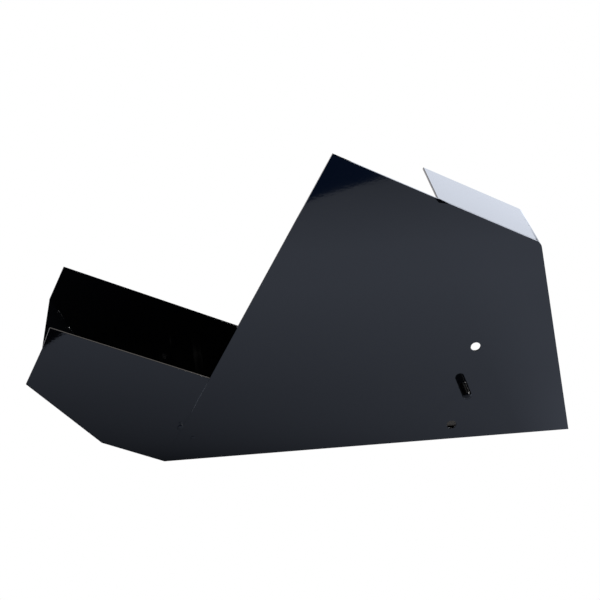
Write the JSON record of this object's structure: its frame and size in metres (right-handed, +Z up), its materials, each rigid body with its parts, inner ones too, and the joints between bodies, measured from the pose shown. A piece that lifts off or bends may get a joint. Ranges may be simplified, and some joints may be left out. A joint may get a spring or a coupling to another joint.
{
  "type": "sluice box",
  "caption": "Folded steel sluice box with one tall side plate, a hood, a low far wall and a trap, a ribbed mat, a locating stud and a hinged riffle tray.",
  "frame": {"origin": "bottom centre of the bounding box, on the surface the ramp floor stands on", "axes": "+X up the ramp from the trap to the back panel, +Y from the tall side plate to the far wall, +Z up"},
  "size_m": [0.5668, 0.14, 0.3389],
  "materials": {
    "shell_coat": "gloss black powder coat",
    "stud_steel": "gloss black coated steel",
    "zinc_steel": "bright zinc plated",
    "tray_steel": "satin black coated steel",
    "riffle_steel": "brushed stainless",
    "rivet_alloy": "as headed",
    "mat_rubber": "ribbed, matt"
  },
  "bodies": {
    "shell": {"side_plate": "shell_coat", "tray_side_wall": "shell_coat", "floor_sheet": "shell_coat", "far_wall": "shell_coat", "hood_back_panel": "shell_coat", "mount_stud": "stud_steel", "ribbed_mat": "mat_rubber", "trap_mat": "mat_rubber", "mat_strip_lower": "zinc_steel", "mat_strip_upper": "zinc_steel", "strip_rivets": "rivet_alloy", "ear_rivets": "rivet_alloy", "hinge_ear_near": "zinc_steel", "hinge_ear_far": "zinc_steel", "hinge_rod": "zinc_steel", "rod_clips": "zinc_steel"},
    "riffle_tray": {"rail_near": "tray_steel", "rail_far": "tray_steel", "lower_end_bar": "tray_steel", "upper_end_bar": "tray_steel", "screen": "tray_steel", "riffle_1": "riffle_steel", "riffle_2": "riffle_steel", "riffle_3": "riffle_steel", "riffle_4": "riffle_steel", "riffle_5": "riffle_steel", "riffle_6": "riffle_steel", "riffle_7": "riffle_steel", "lift_handle": "tray_steel"}
  },
  "joints": [
    {"name": "riffle_tray_hinge", "type": "hinge", "parent": "shell", "child": "riffle_tray", "pos_m": [0.26343, 0.01, 0.0153], "axis": [0, 1, 0], "range_deg": [0, 60]}
  ]
}
